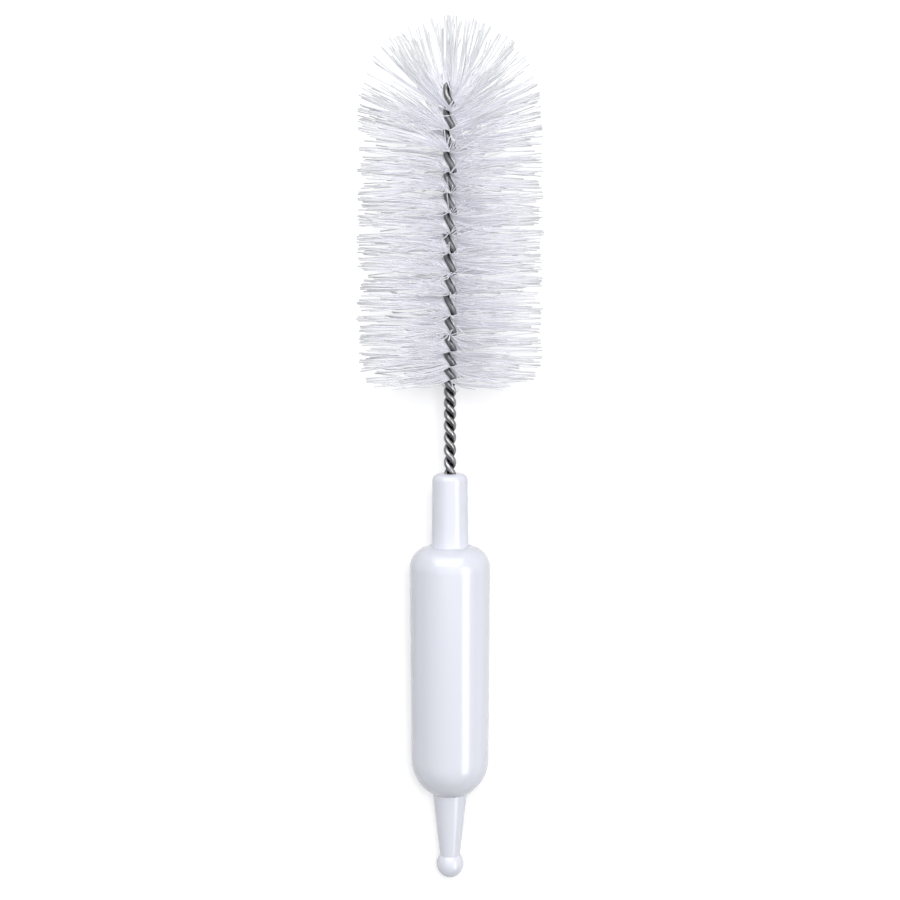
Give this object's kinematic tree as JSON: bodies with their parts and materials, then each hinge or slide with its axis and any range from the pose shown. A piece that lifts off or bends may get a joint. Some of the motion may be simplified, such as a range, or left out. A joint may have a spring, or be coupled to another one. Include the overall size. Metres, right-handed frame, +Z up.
{
  "type": "bottle brush",
  "caption": "Twisted-wire bottle brush, lying on its side: nylon bristles with a domed end, a bare twisted stem and a white moulded handle that ends in a ball.",
  "frame": {"origin": "middle of the underside of the bounding box, on the surface that the brush lies on", "axes": "+Y along the lying brush from the ball of the handle to the dome of the bristles, +Z up; the brush's own axis rises by 7.4 degrees towards the dome"},
  "size_m": [0.06, 0.2768, 0.0693],
  "materials": {
    "handle_plastic": "glossy white moulded plastic",
    "steel_wire": "bright drawn wire",
    "nylon": "translucent white monofilament"
  },
  "bodies": {
    "root": {"handle": "handle_plastic", "stem_wire": "steel_wire", "side_filaments": "nylon", "fan_filaments": "nylon"}
  },
  "joints": []
}
